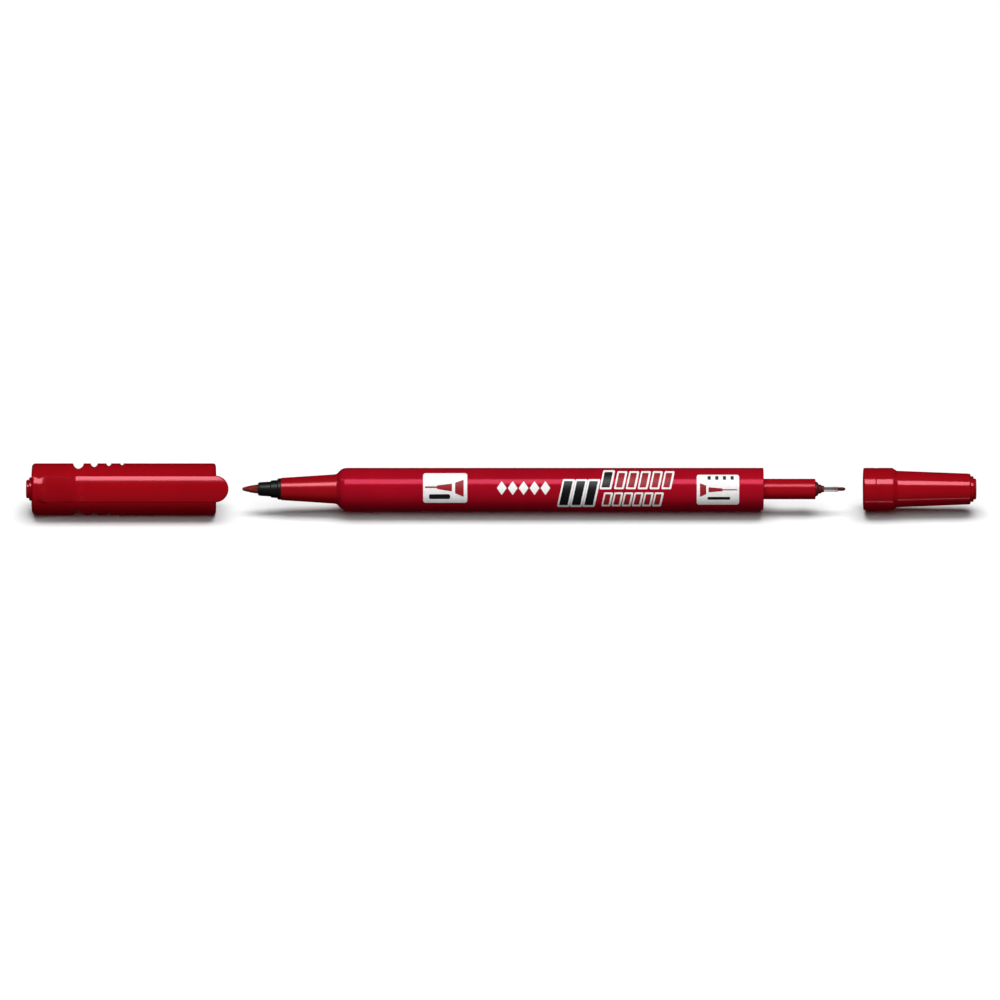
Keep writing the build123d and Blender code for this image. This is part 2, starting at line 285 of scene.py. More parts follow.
def steel_material():
    """Drawn stainless tube: lines along the draw, a thin ink film near its mouth."""
    m = Nodes("sleeve_steel")
    lines = m.noise(1.0, 4.0, 0.7, m.scaled(120.0, 9000.0, 9000.0))
    stain = m.noise(1400.0, 3.0, 0.6)
    colour = m.ramp(lines, [(0.3, (0.60, 0.56, 0.545)), (0.7, (0.76, 0.73, 0.715))])
    sep = m.new("ShaderNodeSeparateXYZ")
    m.link(m.coord, sep.inputs[0])
    near = m.new("ShaderNodeMapRange")
    m.link(sep.outputs[0], near.inputs["Value"])
    near.inputs["From Min"].default_value = sleeve_hi.x * MM - 0.0016
    near.inputs["From Max"].default_value = sleeve_hi.x * MM
    film = m.math("MULTIPLY", near.outputs[0], m.math("MULTIPLY", stain, 0.9), clamp=True)
    m.link(m.mix(film, colour, (0.30, 0.06, 0.055)), m.bsdf.inputs["Base Color"])
    m.bsdf.inputs["Metallic"].default_value = 0.9
    m.link(m.math("ADD", 0.16, m.math("MULTIPLY", lines, 0.16)),
           m.bsdf.inputs["Roughness"])
    m.link(m.bump(lines, 0.25, 0.00001), m.bsdf.inputs["Normal"])
    return m.mat


def film_material():
    m = Nodes("wrap_film")
    wrinkle = m.noise(1.0, 4.0, 0.6, m.scaled(60.0, 700.0, 700.0), 0.5)
    m.link(m.ramp(wrinkle, [(0.3, (0.66, 0.60, 0.58)), (0.7, (0.82, 0.79, 0.77))]),
           m.bsdf.inputs["Base Color"])
    m.link(m.math("ADD", 0.22, m.math("MULTIPLY", wrinkle, 0.2)),
           m.bsdf.inputs["Roughness"])
    m.link(m.bump(wrinkle, 0.3, 0.0001), m.bsdf.inputs["Normal"])
    return m.mat


def ink_material(name, base, rough, chip):
    """Screen-printed ink: slightly uneven coverage, pinholes, soft surface."""
    m = Nodes(name)
    cover = m.noise(1600.0, 3.0, 0.6)
    mesh_x = m.noise(5200.0, 1.0, 0.5)
    colour = m.ramp(cover, [(0.35, tuple(c * 0.92 for c in base)), (0.65, base)])
    holes = m.math("GREATER_THAN", m.noise(3600.0, 3.0, 0.7), 0.715)
    m.link(m.mix(m.math("MULTIPLY", holes, 0.7), colour, chip), m.bsdf.inputs["Base Color"])
    m.link(m.math("ADD", rough, m.math("MULTIPLY", mesh_x, 0.12)),
           m.bsdf.inputs["Roughness"])
    m.bsdf.inputs["Specular IOR Level"].default_value = 0.35
    m.link(m.bump(mesh_x, 0.12, 0.00001), m.bsdf.inputs["Normal"])
    return m.mat


inner_cap_natural = inner_cap_material()
nib_fibre = fibre_material("nib_fibre", (0.070, 0.0050, 0.0045), (0.25, 0.020, 0.017),
                           7000.0, 0.35)
xnib_fibre = fibre_material("extra_fine_nib_fibre", (0.045, 0.0060, 0.0055),
                            (0.13, 0.016, 0.015), 9000.0, 0.25)
reservoir_fibre = fibre_material("reservoir_fibre", (0.22, 0.010, 0.014),
                                 (0.44, 0.045, 0.050), 5000.0, 0.5, 0.3, 0.25)
sleeve_steel = steel_material()
wrap_film = film_material()
ink_white = ink_material("print_ink_white", (0.90, 0.885, 0.885), 0.42, (0.62, 0.30, 0.32))
ink_black = ink_material("print_ink_black", (0.006, 0.006, 0.007), 0.40, (0.10, 0.02, 0.02))
ink_red = ink_material("print_ink_red", (0.300, 0.0060, 0.0120), 0.46, (0.24, 0.006, 0.012))

# ------------------------------------------------------------------- shapes


def rounded(points, rounds=(), soft=0.0, closed=True, step=math.radians(9)):
    """The outline with its corners rounded: rounds lists (x, r, radius), and
    every other real corner gets the small radius soft."""
    n = len(points)
    out = []
    for i, (px, pr) in enumerate(points):
        p = Vector((px, pr))
        if not closed and i in (0, n - 1):
            out.append(p)
            continue
        a, b = Vector(points[i - 1]), Vector(points[(i + 1) % n])
        radius = 0.0
        for rx, rr, rad in rounds:
            if abs(rx - px) < 1e-4 and abs(rr - pr) < 1e-4:
                radius = rad
        u, w = a - p, b - p
        if u.length < 1e-6 or w.length < 1e-6:
            continue
        room = min(u.length, w.length)
        u.normalize()
        w.normalize()
        turn = math.pi - math.acos(max(-1, min(1, u.dot(w))))
        if radius == 0.0:
            if soft and turn > math.radians(18):
                radius = min(soft, 0.35 * room / max(1e-6, math.tan(turn / 2)))
            else:
                out.append(p)
                continue
        t = radius * math.tan(turn / 2)
        if t > room * 0.999:
            t = room * 0.999
            radius = t / math.tan(turn / 2)
        c = p + (u + w).normalized() * (radius / math.cos(turn / 2))
        s, e = p + u * t - c, p + w * t - c
        steps = max(2, int(math.ceil(turn / step)))
        a0 = math.atan2(s.y, s.x)
        da = math.atan2(e.y, e.x) - a0
        while da > math.pi:
            da -= 2 * math.pi
        while da < -math.pi:
            da += 2 * math.pi
        for k in range(steps + 1):
            ang = a0 + da * k / steps
            out.append(c + Vector((math.cos(ang), math.sin(ang))) * radius)
    return [(v.x, v.y) for v in out]


def finish_mesh(name, bm, material, sharp=30.0, weighted=True):
    bmesh.ops.remove_doubles(bm, verts=bm.verts, dist=1e-8)
    bmesh.ops.dissolve_degenerate(bm, dist=1e-8, edges=bm.edges)
    bmesh.ops.recalc_face_normals(bm, faces=bm.faces)
    limit = math.radians(sharp)
    for f in bm.faces:
        f.smooth = True
    for e in bm.edges:
        if len(e.link_faces) == 2 and e.calc_face_angle(0.0) > limit:
            e.smooth = False
    mesh = bpy.data.meshes.new(name)
    bm.to_mesh(mesh)
    bm.free()
    mesh.materials.append(material)
    obj = bpy.data.objects.new(name, mesh)
    bpy.context.scene.collection.objects.link(obj)
    if weighted:
        mod = obj.modifiers.new("face weighted normals", "WEIGHTED_NORMAL")
        mod.keep_sharp = True
        mod.weight = 80
    return obj


def lathe(name, outline, material, segments=160, poles=False, warp=None, sharp=30.0):
    """A turned piece from (x, r) in millimetres. poles: the outline is open and
    its two ends lie on the axis. warp(x, r, angle, index) may move a point's r."""
    bm = bmesh.new()
    rings = []
    for i, (x, r) in enumerate(outline):
        if poles and i in (0, len(outline) - 1):
            rings.append([bm.verts.new((x * MM, 0, 0))])
            continue
        ring = []
        for k in range(segments):
            a = 2 * math.pi * k / segments
            rr = warp(x, r, a, i) if warp else r
            ring.append(bm.verts.new((x * MM, rr * MM * math.cos(a), rr * MM * math.sin(a))))
        rings.append(ring)
    pairs = list(zip(rings, rings[1:]))
    if not poles:
        pairs.append((rings[-1], rings[0]))
    for p, q in pairs:
        for k in range(segments):
            j = (k + 1) % segments
            if len(p) == 1:
                bm.faces.new((p[0], q[k], q[j]))
            elif len(q) == 1:
                bm.faces.new((p[k], q[0], p[j]))
            else:
                bm.faces.new((p[k], q[k], q[j], p[j]))
    return finish_mesh(name, bm, material, sharp)


def stands_for(piece, node, body):
    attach(piece, body)
    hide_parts(node)
    return piece


# ---- barrel -------------------------------------------------------------

BX0, BX1, BR = barrel_lo.x, barrel_hi.x, barrel_hi.y
BORE, SOCKET, SOCKET_X1 = 4.05, 3.00, barrel_lo.x + 6.0
RIB_R, WRAP_R = 3.50, 3.50

bore_edge = 0.02
outline = rounded(
    [(BX0, SOCKET), (BX0, 3.42), (BX0 + 0.85, 4.30), (BX0 + 1.70, BR), (BX1, BR),
     (BX1, BORE), (40.6, BORE),
     (40.55, BORE - 0.001), (SOCKET_X1 + 0.05, BORE - 0.001), (SOCKET_X1, BORE),
     (SOCKET_X1, SOCKET)],
    rounds=[(BX0, 3.42, 0.20), (BX0 + 0.85, 4.30, 1.50), (BX0 + 1.70, BR, 2.50),
            (BX1, BR, 0.13)], soft=0.0, step=math.radians(4))


def ribs(x, r, a, i):
    """The four ribs along the bore, between its ends."""
    if abs(r - (BORE - 0.001)) < 1e-6:
        off = (math.degrees(a) - 45.0) % 90.0
        off = min(off, 90.0 - off)
        if math.radians(off) * RIB_R < 0.45:
            return RIB_R + 0.005
    return r


barrel = lathe("barrel_tube_shown", outline, barrel_red, 192, warp=ribs)
stands_for(barrel, "barrel_tube", "barrel")

neck = lathe("fine_end_section_shown", rounded(
    [(neck_lo.x, 1.90), (neck_lo.x, 2.48), (BX0 - 0.55, 3.26), (BX0, 3.40),
     (BX0, SOCKET), (neck_hi.x, SOCKET), (neck_hi.x, 1.50), (-53.6, 1.50), (-53.6, 1.90)],
    rounds=[(neck_lo.x, 2.48, 0.16), (neck_hi.x, SOCKET, 0.25)], soft=0.02), neck_red, 160)
stands_for(neck, "fine_end_section", "barrel")

HX0 = holder_lo.x
holder = lathe("fine_nib_holder_shown", rounded(
    [(HX0, 1.055), (HX0, 1.36), (HX0 + 0.45, 1.52), (-62.15, 1.66), (-62.0, 1.90),
     (-60.62, 2.02), (-60.5, 2.34), (neck_lo.x - 0.01, 2.38), (neck_lo.x - 0.01, 1.895),
     (holder_hi.x, 1.895), (holder_hi.x, 1.055)],
    rounds=[(HX0, 1.36, 0.10), (-60.5, 2.34, 0.12)], soft=0.05), moulded_black, 144)
stands_for(holder, "fine_nib_holder", "barrel")

nib = lathe("fine_nib_shown", rounded(
    [(nib_lo.x, 0), (nib_lo.x, 0.30), (-67.75, 0.50), (-66.4, 0.82), (-65.15, 1.00),
     (HX0, 1.05), (-34.0, 1.05), (-33.4, 1.05), (nib_hi.x, 1.0), (nib_hi.x, 0)],
    rounds=[(nib_lo.x, 0.30, 0.26), (-67.75, 0.50, 0.6), (-66.4, 0.82, 1.2)],
    closed=False), nib_fibre, 96, poles=True)
stands_for(nib, "fine_nib", "barrel")

xneck = lathe("extra_fine_section_shown", rounded(
    [(xneck_lo.x, 1.11), (xneck_lo.x, BORE), (BX1, BORE), (BX1, 2.28), (xneck_hi.x, 2.28),
     (xneck_hi.x, 1.50), (52.5, 1.50), (52.5, 1.11)],
    rounds=[(xneck_lo.x, BORE, 0.30), (xneck_hi.x, 2.28, 0.22), (BX1, 2.28, 0.20)],
    soft=0.02), slim_neck_red, 160)
stands_for(xneck, "extra_fine_section", "barrel")

CX = cone_hi.x
cone = lathe("extra_fine_tip_cone_shown", rounded(
    [(cone_lo.x, 1.11), (cone_lo.x, 1.495), (xneck_hi.x + 0.005, 1.495),
     (xneck_hi.x + 0.005, 1.66), (59.12, 1.66), (59.50, 1.42), (59.62, 1.06),
     (60.22, 0.96), (60.34, 0.76), (CX, 0.70), (CX, 0.58), (55.0, 0.58), (55.0, 1.11)],
    soft=0.05), cone_dark_red, 128)
stands_for(cone, "extra_fine_tip_cone", "barrel")

sleeve = lathe("extra_fine_sleeve_shown", rounded(
    [(sleeve_lo.x, 0.425), (sleeve_lo.x, 0.575), (sleeve_hi.x, 0.575), (sleeve_hi.x, 0.425)],
    rounds=[(sleeve_hi.x, 0.575, 0.11)], soft=0.02), sleeve_steel, 96)
stands_for(sleeve, "extra_fine_sleeve", "barrel")

xnib = lathe("extra_fine_nib_shown", rounded(
    [(xnib_lo.x, 0), (xnib_lo.x, 0.42), (xnib_hi.x - 0.55, 0.42), (xnib_hi.x, 0.24),
     (xnib_hi.x, 0)],
    rounds=[(xnib_hi.x - 0.55, 0.42, 0.3), (xnib_hi.x, 0.24, 0.20)], closed=False),
    xnib_fibre, 72, poles=True)
stands_for(xnib, "extra_fine_nib", "barrel")

# ---- large cap: shell with clip root and finger grooves --------------------

CAP_R = 5.70
CAP_BORE, CAP_INNER, STEM = 4.95, 3.90, 1.80
FACE_X, MOUTH_X = cap_lo.x, cap_hi.x
HALF_W, TOP_R = 2.965, 8.00
ROOT_X, RAMP_X0, RAMP_X1 = clip_lo.x, -113.3, -104.9
GROOVES = [(-104.8, 1.20), (-101.3, 0.80), (-98.05, 0.56), (-95.1, 0.40)]


def ramp_line():
    """The clip root's top line (x, r)."""
    pts = rounded([(RAMP_X0, CAP_R - 0.02), (RAMP_X1, TOP_R), (ROOT_X, TOP_R)],
                  rounds=[(RAMP_X1, TOP_R, 4.0)], closed=False, step=math.radians(1.2))
    return pts


RAMP = ramp_line()


def ramp_r(x):
    if x <= RAMP[0][0] or x > ROOT_X + 1e-6:
        return 0.0
    for (x0, r0), (x1, r1) in zip(RAMP, RAMP[1:]):
        if x0 <= x <= x1 + 1e-9:
            return r0 + (r1 - r0) * (x - x0) / max(1e-9, x1 - x0)
    return TOP_R


def groove_cut(x):
    """How far from the axis the grooves leave the top and underside."""
    z = CAP_R
    for gx, gr in GROOVES:
        d = abs(x - gx)
        if d < gr:
            z = min(z, CAP_R - math.sqrt(gr * gr - d * d))
    return z


N_TOP, N_BEVEL, N_WALL, N_FLANK, N_GROOVE, N_BACK = 20, 5, 5, 16, 34, 34
SOFT_EDGE = 0.34


def cap_section(x, radius, with_ramp, cut):
    """Half of the cap's section, from the clip's middle (-Y) over the top (+Z)
    to the back (+Y), as (y, z) points; always the same number of points."""
    foot = math.asin(HALF_W / CAP_R)
    pts = []
    top = ramp_r(x) if with_ramp else 0.0
    if top > radius + 0.04:
        bevel = min(SOFT_EDGE, 0.42 * (top - radius))
        # the crowned top runs to where the edge's rounding begins
        edge_r = top - bevel
        zc = HALF_W - bevel
        yc = -math.sqrt(edge_r * edge_r - zc * zc)
        t1 = math.atan2(zc, -yc)
        for k in range(N_TOP + 1):
            t = t1 * k / N_TOP
            pts.append((-top * math.cos(t), top * math.sin(t)))
        for k in range(1, N_BEVEL + 1):
            t = t1 + (math.pi / 2 - t1) * k / N_BEVEL
            pts.append((yc - bevel * math.cos(t), zc + bevel * math.sin(t)))
        y_foot = -radius * math.cos(math.asin(HALF_W / radius))
        for k in range(1, N_WALL + 1):
            pts.append((yc + (y_foot - yc) * k / N_WALL, HALF_W))
    else:
        n = N_TOP + N_BEVEL + N_WALL
        for k in range(n + 1):
            t = foot * k / n
            pts.append((-radius * math.cos(t), radius * math.sin(t)))
    half = math.radians(5.0)
    if cut < radius:
        half = max(half, math.acos(cut / radius))
    a, b = math.pi / 2 - half, math.pi / 2 + half
    for k in range(1, N_FLANK + 1):
        t = foot + (a - foot) * k / N_FLANK
        pts.append((-radius * math.cos(t), radius * math.sin(t)))
    for k in range(1, N_GROOVE + 1):
        t = a + (b - a) * k / N_GROOVE
        r = radius
        if cut < radius:
            r = min(radius, cut / max(1e-6, math.sin(t)))
        pts.append((-r * math.cos(t), r * math.sin(t)))
    for k in range(1, N_BACK + 1):
        t = b + (math.pi - b) * k / N_BACK
        pts.append((-radius * math.cos(t), radius * math.sin(t)))
    return pts


def lying(y, z):
    """From the cap's own frame, clip along -Y, to how it lies."""
    c, s = math.cos(-CLIP_LIE), math.sin(-CLIP_LIE)
    return y * c - z * s, y * s + z * c


def cap_ring(bm, x, radius, outer=True, with_ramp=True, cut=True):
    half = cap_section(x, radius, outer and with_ramp, groove_cut(x) if outer and cut else 1e9)
    full = half + [(y, -z) for y, z in reversed(half[1:-1])]
    ring = []
    for y, z in full:
        ly, lz = lying(y, z)
        ring.append(bm.verts.new((x * MM, ly * MM, lz * MM)))
    return ring


def strip(bm, p, q):
    n = len(p)
    for k in range(n):
        j = (k + 1) % n
        bm.faces.new((p[k], q[k], q[j], p[j]))


bm = bmesh.new()
end_round = rounded([(FACE_X, STEM), (FACE_X, CAP_R), (MOUTH_X, CAP_R), (MOUTH_X, CAP_BORE)],
                    rounds=[(FACE_X, CAP_R, 0.75), (MOUTH_X, CAP_R, 0.55)],
                    closed=False, step=math.radians(6))
head = [(x, r) for x, r in end_round if x < FACE_X + 0.76]
tail = [(x, r) for x, r in end_round if x > MOUTH_X - 0.56]
columns = [x for x, r in RAMP] + [ROOT_X]
for gx, gr in GROOVES:
    columns += [gx - gr * math.cos(math.pi * k / 26) for k in range(27)]
SPLIT_X = RAMP_X0 + 1.5
columns += [SPLIT_X, SPLIT_X + 0.04, -90.0, -86.0, -82.0, -78.0]
columns = sorted(set(round(c, 5) for c in columns
                     if FACE_X + 0.76 < c < MOUTH_X - 0.56))
rings = []
rings.append(cap_ring(bm, FACE_X, STEM, with_ramp=False, cut=False))
rings.append(cap_ring(bm, FACE_X, 3.2, with_ramp=False, cut=False))
for x, r in head[1:]:
    rings.append(cap_ring(bm, x, r, with_ramp=False, cut=False))
for x in columns:
    if x <= SPLIT_X + 1e-6:
        rings.append(cap_ring(bm, x, CAP_R))
    if x >= SPLIT_X - 1e-6:
        rings.append(cap_ring(bm, x, CAP_R, with_ramp=False))
for x, r in tail[:-1]:
    rings.append(cap_ring(bm, x, r, with_ramp=False, cut=False))
inside = rounded(
    [(MOUTH_X - 0.0, CAP_BORE), (-91.6, CAP_BORE), (-92.6, CAP_INNER),
     (FACE_X + 1.5, CAP_INNER), (FACE_X + 1.5, STEM)], closed=False, soft=0.0)
inside = [(MOUTH_X, CAP_BORE + 0.10), (MOUTH_X - 0.03, CAP_BORE + 0.03),
          (MOUTH_X - 0.10, CAP_BORE)] + inside[1:]
for x, r in inside:
    rings.append(cap_ring(bm, x, r, outer=False))
for p, q in zip(rings, rings[1:] + rings[:1]):
    strip(bm, p, q)
cap_shell = finish_mesh("fine_cap_shell_shown", bm, moulded_red, 26.0)
stands_for(cap_shell, "fine_cap_shell", "fine_cap")

# The clip's root past SPLIT_X is drawn apart from the shell, as the clip is.
bm = bmesh.new()
rows = []
foot = math.asin(HALF_W / CAP_R)
for x in [c for c in columns if SPLIT_X - 1e-6 <= c <= ROOT_X + 1e-6]:
    over = cap_section(x, CAP_R, True, 1e9)[:N_TOP + N_BEVEL + N_WALL + 1]
    under = [(-(CAP_R - 0.02) * math.cos(foot * (1 - k / 10)),
              (CAP_R - 0.02) * math.sin(foot * (1 - k / 10))) for k in range(0, 11)]
    half = over + under
    row = []
    for y, z in half + [(y, -z) for y, z in reversed(half[1:-1])]:
        ly, lz = lying(y, z)
        row.append(bm.verts.new((x * MM, ly * MM, lz * MM)))
    rows.append(row)
for p, q in zip(rows, rows[1:]):
    strip(bm, p, q)
bm.faces.new(rows[0])
bm.faces.new(list(reversed(rows[-1])))
clip_root = finish_mesh("fine_cap_clip_root", bm, moulded_red, 26.0)
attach(clip_root, "fine_cap")

# ---- pocket clip ----------------------------------------------------------

TIP_X = clip_hi.x
IN_Y = 6.70
ROUND_X = TIP_X - HALF_W


def clip_section(w, top=TOP_R, n_top=28, n_side=6):
    """(y, z) points round the clip's section of half width w, from the top
    middle over +Z round to the underside and back."""
    edge = min(SOFT_EDGE, 0.45 * w, 0.45 * (top - IN_Y))
    half = []
    zc = w - edge
    er = top - edge
    yc = -math.sqrt(er * er - zc * zc)
    t1 = math.atan2(zc, -yc)
    for k in range(n_top // 2 + 1):
        t = t1 * k / (n_top // 2)
        half.append((-top * math.cos(t), top * math.sin(t)))
    for k in range(1, n_side + 1):
        t = t1 + (math.pi / 2 - t1) * k / n_side
        half.append((yc - edge * math.cos(t), zc + edge * math.sin(t)))
    low = 0.10 if w > 0.3 else 0.3 * w
    for k in range(0, 4):
        t = math.pi / 2 * k / 3
        half.append((-IN_Y - low + low * math.sin(t), w - low + low * math.cos(t)))
    for k in range(1, 7):
        half.append((-IN_Y, (w - low) * (1 - k / 6)))
    return half + [(y, -z) for y, z in reversed(half[1:-1])]


bm = bmesh.new()
clip_rings = []
xs = [ROOT_X + 0.004] + [ROOT_X + (ROUND_X - ROOT_X) * k / 24 for k in range(1, 25)]
for x in xs:
    clip_rings.append((x, HALF_W))
for k in range(1, 34):
    t = math.pi / 2 * k / 34
    clip_rings.append((ROUND_X + HALF_W * math.sin(t), HALF_W * math.cos(t)))
rows = []
for x, w in clip_rings:
    # the tongue's top dips a little towards its tip
    row = []
    dip = max(0.0, x - ROUND_X) / HALF_W
    for y, z in clip_section(w, TOP_R - 0.36 * dip ** 1.2):
        ly, lz = lying(y, z)
        row.append(bm.verts.new((x * MM, ly * MM, lz * MM)))
    rows.append(row)
for p, q in zip(rows, rows[1:]):
    strip(bm, p, q)
bm.faces.new(rows[0])
bm.faces.new(list(reversed(rows[-1])))
clip = finish_mesh("pocket_clip_shown", bm, moulded_red, 34.0)
stands_for(clip, "pocket_clip", "pocket_clip")

# the bump inside the clip's tip
bm = bmesh.new()
rows = []
bump = rounded([(0.0, -1.6), (0.86, -1.6), (0.86, 1.6), (0.0, 1.6)],
               rounds=[(0.86, -1.6, 0.3), (0.86, 1.6, 0.3)], closed=False)
for i, (r, z) in enumerate(bump):
    if i in (0, len(bump) - 1):
        ly, lz = lying(-6.78, z)
        rows.append([bm.verts.new((-77.6 * MM, ly * MM, lz * MM))])
        continue
    row = []
    for k in range(48):
        a = 2 * math.pi * k / 48
        ly, lz = lying(-6.78 + r * math.sin(a), z)
        row.append(bm.verts.new(((-77.6 + r * math.cos(a)) * MM, ly * MM, lz * MM)))
    rows.append(row)
for p, q in zip(rows, rows[1:]):
    for k in range(48):
        j = (k + 1) % 48
        if len(p) == 1:
            bm.faces.new((p[0], q[k], q[j]))
        elif len(q) == 1:
            bm.faces.new((p[k], q[0], p[j]))
        else:
            bm.faces.new((p[k], q[k], q[j], p[j]))
clip_bump = finish_mesh("pocket_clip_bump", bm, moulded_red, 34.0)
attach(clip_bump, "pocket_clip")

# ---- parts inside and at the end of the large cap --------------------------

ICX = FACE_X + 1.5
inner = lathe("fine_cap_inner_cap_shown", rounded(
    [(ICX, 0), (ICX, 3.895), (-101.0, 3.895), (-100.8, 3.55), (-95.6, 3.55), (-95.6, 3.26),
     (-96.0, 3.05), (-103.3, 2.60), (-103.6, 2.46), (ICX + 1.0, 2.46), (ICX + 1.0, 0)],
    rounds=[(ICX + 1.0, 2.46, 0.8)], soft=0.06, closed=False),
    inner_cap_natural, 128, poles=True)
stands_for(inner, "fine_cap_inner_cap", "fine_cap")

plug = lathe("fine_cap_end_plug_shown", rounded(
    [(ICX, 0), (ICX, 1.795), (FACE_X, 1.795), (FACE_X, 2.60), (FACE_X - 0.60, 2.60),
     (FACE_X - 0.70, 2.06), (FACE_X - 1.30, 2.03), (FACE_X - 1.30, 0)],
    rounds=[(FACE_X - 0.60, 2.60, 0.15), (FACE_X - 1.30, 2.03, 0.22)], soft=0.03,
    closed=False), moulded_red, 128, poles=True)
stands_for(plug, "fine_cap_end_plug", "fine_cap")

# ---- small cap --------------------------------------------------------------

SM, SF = scap_lo.x, scap_hi.x
scap = lathe("extra_fine_cap_shell_shown", rounded(
    [(SM, 3.30), (SM, 4.70), (72.12, 4.70), (72.18, 4.70), (72.40, 4.63), (72.62, 4.70),
     (72.68, 4.70), (75.9, 4.70), (76.05, 4.70),
     (77.05, 4.05), (SF, 3.42), (SF, STEM), (SF - 1.2, STEM), (SF - 1.2, 2.95),
     (77.1, 2.95), (76.6, 3.30)],
    rounds=[(SM, 4.70, 0.25), (76.05, 4.70, 0.12), (77.05, 4.05, 0.30), (SF, 3.42, 0.35)],
    soft=0.04),
    moulded_red, 192)
stands_for(scap, "extra_fine_cap_shell", "extra_fine_cap")

SIX = SF - 1.2
sinner = lathe("extra_fine_cap_inner_cap_shown", rounded(
    [(SIX - 1.0, 0), (SIX - 1.0, 1.90), (82.4, 1.90), (82.0, 2.46), (77.9, 2.46),
     (77.6, 2.66), (77.6, 2.945), (SIX, 2.945), (SIX, 0)],
    rounds=[(SIX - 1.0, 1.90, 0.6)], soft=0.05, closed=False),
    inner_cap_natural, 128, poles=True)
stands_for(sinner, "extra_fine_cap_inner_cap", "extra_fine_cap")

splug = lathe("extra_fine_cap_end_plug_shown", rounded(
    [(SIX, 0), (SIX, 1.795), (SF, 1.795), (SF, 2.86), (SF + 0.62, 2.84),
     (SF + 0.72, 2.34), (SF + 1.25, 2.30), (SF + 1.25, 0)],
    rounds=[(SF + 0.62, 2.84, 0.15), (SF + 1.25, 2.30, 0.22)], soft=0.03, closed=False),
    moulded_red, 128, poles=True)
stands_for(splug, "extra_fine_cap_end_plug", "extra_fine_cap")

# ---- hidden parts keep their CAD shape, with their own materials -----------

for node, material in (("ink_reservoir", reservoir_fibre),
                       ("extra_fine_relay_wick", reservoir_fibre),
                       ("reservoir_wrap", wrap_film)):
    obj = frame["nodes"][node]
    obj.data.materials.clear()
    obj.data.materials.append(material)

# ------------------------------------------------------------- screen print
# Thin films of ink on the barrel, centred on the side that faces the viewer.
# Coordinates are (x, h): h is the height seen square on to that side.


def film(name, outlines, material, height, thickness=0.012):
    """One printed colour: closed thin films wrapped onto the barrel."""
    bm_out = bmesh.new()
    for outline in outlines:
        bm = bmesh.new()
        verts = [bm.verts.new((x, h, 0)) for x, h in outline]
        bm.faces.new(verts)
        bmesh.ops.triangulate(bm, faces=bm.faces[:])
        level = -4.6
        while level < 4.6:
            bmesh.ops.bisect_plane(bm, geom=bm.verts[:] + bm.edges[:] + bm.faces[:],
                                   dist=1e-6, plane_co=(0, level, 0), plane_no=(0, 1, 0))
            level += 0.12 if abs(level) < 3.4 else 0.05
        bmesh.ops.remove_doubles(bm, verts=bm.verts, dist=1e-5)
        top, low = {}, {}
        for v in bm.verts:
            for store, r in ((top, BR + height), (low, BR + height - thickness - 0.010)):
                t = math.asin(max(-0.999, min(0.999, v.co.y / BR)))
                y, z = -r * math.cos(t), r * math.sin(t)
                ly, lz = lying(y, z)
                store[v] = bm_out.verts.new((v.co.x * MM, ly * MM, lz * MM))
        for f in bm.faces:
            bm_out.faces.new([top[v] for v in f.verts])
            bm_out.faces.new([low[v] for v in reversed(f.verts)])
        for e in bm.edges:
            if len(e.link_faces) == 1:
                a, b = e.verts
                bm_out.faces.new((top[a], top[b], low[b], low[a]))
        bm.free()
    bmesh.ops.recalc_face_normals(bm_out, faces=bm_out.faces)
    obj = finish_mesh(name, bm_out, material, 40.0, weighted=False)
    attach(obj, "barrel")
    return obj


def soft_poly(points, radius=0.12):
    return rounded(points, soft=radius, step=math.radians(22))


def rect(x0, x1, h0, h1, radius=0.12):
    return soft_poly([(x0, h0), (x1, h0), (x1, h1), (x0, h1)], radius)


def slanted(x0, x1, h0, h1, lean=0.22, radius=0.15):
    """A leaning bar: its foot from x0 to x1, its head moved along by the lean."""
    d = (h1 - h0) * lean
    return soft_poly([(x0, h0), (x1, h0), (x1 + d, h1), (x0 + d, h1)], radius)


def grown(bar, by):
    """A leaning bar's arguments, made larger all round."""
    x0, x1, h0, h1 = bar
    return (x0 - by - 0.05, x1 + by - 0.05, h0 - by, h1 + by)


white, black, red = [], [], []

# left panel: a pen tip pictogram over a thick line sample
white.append(rect(-28.2, -18.4, -3.05, 3.50, 0.55))
red.append(rect(-27.8, -25.1, 0.22, 0.58, 0.05))
red.append(soft_poly([(-25.1, 0.00), (-21.8, -0.55), (-21.8, 1.20), (-25.1, 0.80)]))
red.append(soft_poly([(-21.1, -0.95), (-19.2, -1.75), (-19.2, 2.05), (-21.1, 1.40)]))
black.append(rect(-26.9, -22.2, -2.20, -1.15, 0.35))

# a row of plain lozenges
for k in range(5):
    cx = -10.75 + 2.42 * k
    white.append(soft_poly([(cx - 1.08, 0.2), (cx, -1.35), (cx + 1.08, 0.2), (cx, 1.75)], 0.10))

# stripes motif: leaning bars of three heights, outlined in white
big = [(1.95, 3.85, -3.55, 1.75), (4.75, 6.65, -3.55, 1.75), (7.55, 9.45, -3.55, 1.75)]
tall = [(11.35, 13.15, 0.35, 3.75)]
upper = [(14.55 + 2.62 * k, 15.95 + 2.62 * k, 0.35, 3.55) for k in range(5)]
lower = [(11.75 + 2.25 * k, 12.95 + 2.25 * k, -3.45, -1.15) for k in range(6)]
for bar in big + tall:
    white.append(slanted(*grown(bar, 0.42), radius=0.3))
    black.append(slanted(*bar))
for bar in upper + lower:
    white.append(slanted(*grown(bar, 0.40), radius=0.25))
    red.append(slanted(*bar))

